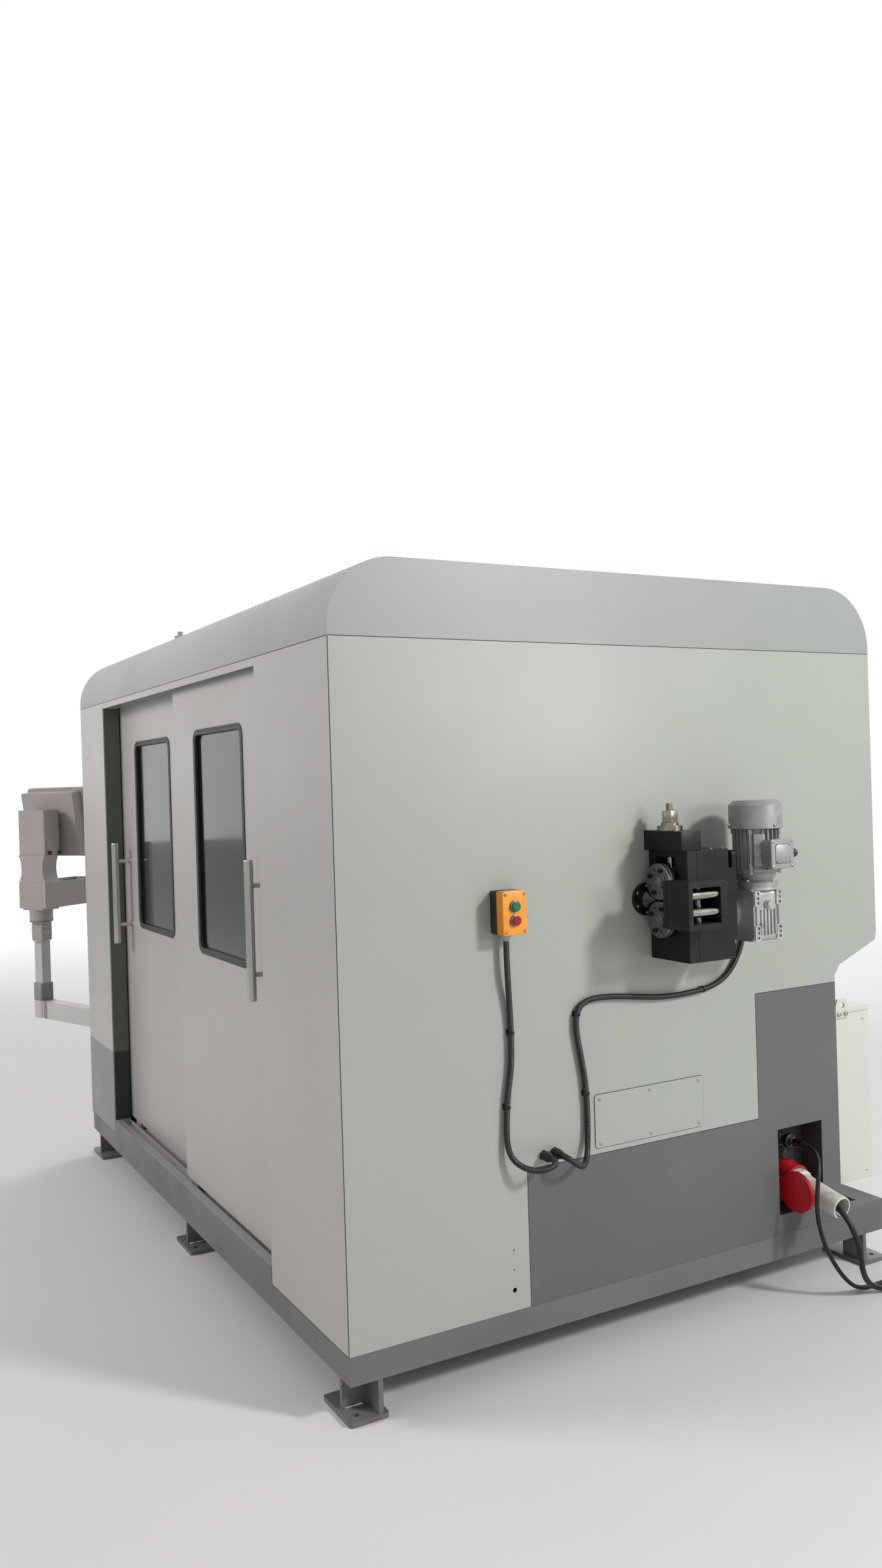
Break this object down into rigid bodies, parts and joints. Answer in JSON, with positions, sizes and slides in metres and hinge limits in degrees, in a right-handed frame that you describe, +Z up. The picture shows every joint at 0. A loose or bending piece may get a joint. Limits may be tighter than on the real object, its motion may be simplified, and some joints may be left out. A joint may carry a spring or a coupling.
{
  "type": "cnc spring coiling machine",
  "caption": "Enclosed wire-forming machine with sliding doors, a powered wire pre-feed unit on one end, a coiling head with radial tool slides, and a swinging operator pendant.",
  "frame": {"origin": "on the floor, centre of the four corner anchor holes", "axes": "+X towards the end with the wire pre-feed unit, -Y towards the operator's doors, +Z up"},
  "size_m": [3.8046, 2.0664, 2.017],
  "materials": {
    "base_paint": "satin grey paint",
    "panel_paint": "fine orange-peel powder coat",
    "front_paint": "fine powder coat",
    "dark_paint": "dark grey powder coat",
    "window_glass": "clear",
    "handle_steel": "satin",
    "plate_steel": "ground",
    "tool_steel": "ground",
    "roll_steel": "turned",
    "unit_black": "worn black paint",
    "guide_steel": "milled",
    "motor_silver": "silver paint on cast metal",
    "button_orange": "moulded",
    "green_plastic": "moulded",
    "red_plastic": "moulded",
    "gland_black": "moulded",
    "conduit_black": "corrugated",
    "connector_metal": "turned",
    "socket_red": "moulded",
    "plug_white": "moulded",
    "case_cream": "smooth paint",
    "arm_paint": "powder coat",
    "pendant_grey": "painted",
    "display_black": "moulded",
    "cable_rubber": "matte"
  },
  "bodies": {
    "machine": {"base_frame": "base_paint", "anchor_feet": "base_paint", "near_end_panel": "panel_paint", "far_end_panel": "panel_paint", "door_tracks": "front_paint", "rear_wall": "panel_paint", "roof_cover": "panel_paint", "dark_end_panel": "dark_paint", "cover_plate": "panel_paint", "recess_box": "dark_paint", "face_plate": "plate_steel", "wire_guides": "tool_steel", "unit_body": "unit_black", "pressure_cap": "unit_black", "guide_box": "guide_steel", "inlet_tube": "tool_steel", "gearbox_housing": "motor_silver", "feed_motor": "motor_silver", "terminal_box": "motor_silver", "button_box": "button_orange", "cable_fittings": "gland_black", "conduits": "conduit_black", "control_connector": "connector_metal", "power_socket": "socket_red", "power_plug": "plug_white", "transformer_case": "case_cream", "arm_bracket": "arm_paint", "control_cable": "cable_rubber", "control_coil": "cable_rubber", "control_end": "gland_black", "power_cable": "cable_rubber", "power_coil": "cable_rubber", "power_end": "plug_white"},
    "near_leaf": {"near_door": "front_paint", "near_window": "window_glass", "near_handle": "handle_steel"},
    "far_leaf": {"far_door": "front_paint", "far_window": "window_glass", "far_handle": "handle_steel"},
    "lower_feed": {"lower_feed_roll": "roll_steel"},
    "upper_feed": {"upper_feed_roll": "roll_steel"},
    "upper_coiling": {"upper_coiling_slide": "tool_steel"},
    "lower_coiling": {"lower_coiling_slide": "tool_steel"},
    "cutter": {"cutter_slide": "tool_steel"},
    "pitch": {"pitch_slide": "tool_steel"},
    "lower_disc": {"lower_roll": "roll_steel"},
    "block": {"bearing_block": "tool_steel"},
    "upper_disc": {"upper_roll": "roll_steel"},
    "screw": {"pressure_screw": "tool_steel"},
    "upper_guide": {"upper_guide_roller": "roll_steel"},
    "lower_guide": {"lower_guide_roller": "roll_steel"},
    "front_guide": {"front_guide_roller": "roll_steel"},
    "rear_guide": {"rear_guide_roller": "roll_steel"},
    "green": {"green_button": "green_plastic"},
    "red": {"red_button": "red_plastic"},
    "lid": {"socket_lid": "socket_red"},
    "arm": {"pendant_arm": "arm_paint"},
    "pendant": {"pendant_box": "pendant_grey"},
    "display": {"display_unit": "display_black"},
    "estop": {"estop_button": "red_plastic"}
  },
  "joints": [
    {"name": "near_door_slide", "type": "slide", "parent": "machine", "child": "near_leaf", "axis": [1, 0, 0], "range_m": [-0.68, 0]},
    {"name": "far_door_slide", "type": "slide", "parent": "machine", "child": "far_leaf", "axis": [1, 0, 0], "range_m": [0, 0.68]},
    {"name": "lower_feed_spin", "type": "hinge", "parent": "machine", "child": "lower_feed", "pos_m": [0.33, 0.06, 1.084], "axis": [0, 1, 0], "continuous": true},
    {"name": "upper_feed_spin", "type": "hinge", "parent": "machine", "child": "upper_feed", "pos_m": [0.33, 0.06, 1.177], "axis": [0, 1, 0], "continuous": true},
    {"name": "upper_coiling_travel", "type": "slide", "parent": "machine", "child": "upper_coiling", "axis": [-0.7071, 0, 0.7071], "range_m": [-0.006, 0.02]},
    {"name": "lower_coiling_travel", "type": "slide", "parent": "machine", "child": "lower_coiling", "axis": [-0.7071, 0, -0.7071], "range_m": [-0.006, 0.02]},
    {"name": "cutter_travel", "type": "slide", "parent": "machine", "child": "cutter", "axis": [0, 0, 1], "range_m": [-0.006, 0.02]},
    {"name": "pitch_travel", "type": "slide", "parent": "machine", "child": "pitch", "axis": [0, 0, -1], "range_m": [-0.006, 0.02]},
    {"name": "lower_roll_spin", "type": "hinge", "parent": "machine", "child": "lower_disc", "pos_m": [1.305, 0.03, 1.082], "axis": [0, 1, 0], "continuous": true},
    {"name": "block_lift", "type": "slide", "parent": "machine", "child": "block", "axis": [0, 0, 1], "range_m": [0, 0.006]},
    {"name": "upper_roll_spin", "type": "hinge", "parent": "block", "child": "upper_disc", "pos_m": [1.305, 0.03, 1.179], "axis": [0, 1, 0], "continuous": true},
    {"name": "pressure_screw_turn", "type": "hinge", "parent": "block", "child": "screw", "pos_m": [1.31, 0.044, 1.3], "axis": [0, 0, 1], "range_deg": [0, 1085]},
    {"name": "upper_guide_spin", "type": "hinge", "parent": "machine", "child": "upper_guide", "pos_m": [1.45, 0.0225, 1.154], "axis": [0, 1, 0], "continuous": true},
    {"name": "lower_guide_spin", "type": "hinge", "parent": "machine", "child": "lower_guide", "pos_m": [1.45, 0.0225, 1.111], "axis": [0, 1, 0], "continuous": true},
    {"name": "front_guide_spin", "type": "hinge", "parent": "machine", "child": "front_guide", "pos_m": [1.419, -0.009, 1.1285], "axis": [0, 0, 1], "continuous": true},
    {"name": "rear_guide_spin", "type": "hinge", "parent": "machine", "child": "rear_guide", "pos_m": [1.419, 0.033, 1.1285], "axis": [0, 0, 1], "continuous": true},
    {"name": "green_button_press", "type": "slide", "parent": "machine", "child": "green", "axis": [-1, 0, 0], "range_m": [0, 0.004], "stiffness_N_per_m": 400, "springref_m": -0.002},
    {"name": "red_button_press", "type": "slide", "parent": "machine", "child": "red", "axis": [-1, 0, 0], "range_m": [0, 0.004], "stiffness_N_per_m": 400, "springref_m": -0.002},
    {"name": "socket_lid_swing", "type": "hinge", "parent": "machine", "child": "lid", "pos_m": [1.20523, 0.491, 0.2866], "axis": [-0.1736, 0, -0.9848], "range_deg": [0, 35]},
    {"name": "pendant_arm_swing", "type": "hinge", "parent": "machine", "child": "arm", "pos_m": [-1.295, -0.755, 0.504], "axis": [0, 0, 1], "range_deg": [-20, 60]},
    {"name": "pendant_turn", "type": "hinge", "parent": "arm", "child": "pendant", "pos_m": [-1.8, -0.942, 0.81], "axis": [0, 0, 1], "range_deg": [-90, 90]},
    {"name": "display_tilt", "type": "hinge", "parent": "pendant", "child": "display", "pos_m": [-1.83538, -0.89109, 1.283], "axis": [0.8211, 0.5707, 0], "range_deg": [-9, 6]},
    {"name": "estop_press", "type": "slide", "parent": "pendant", "child": "estop", "axis": [0.5707, -0.8211, 0], "range_m": [0, 0.004], "stiffness_N_per_m": 400, "springref_m": -0.002}
  ],
  "couplings": [
    {"joint": "upper_feed_spin", "follows": "lower_feed_spin", "ratio": -1},
    {"joint": "pressure_screw_turn", "follows": "block_lift", "rad_per_m": 3141.6}
  ]
}
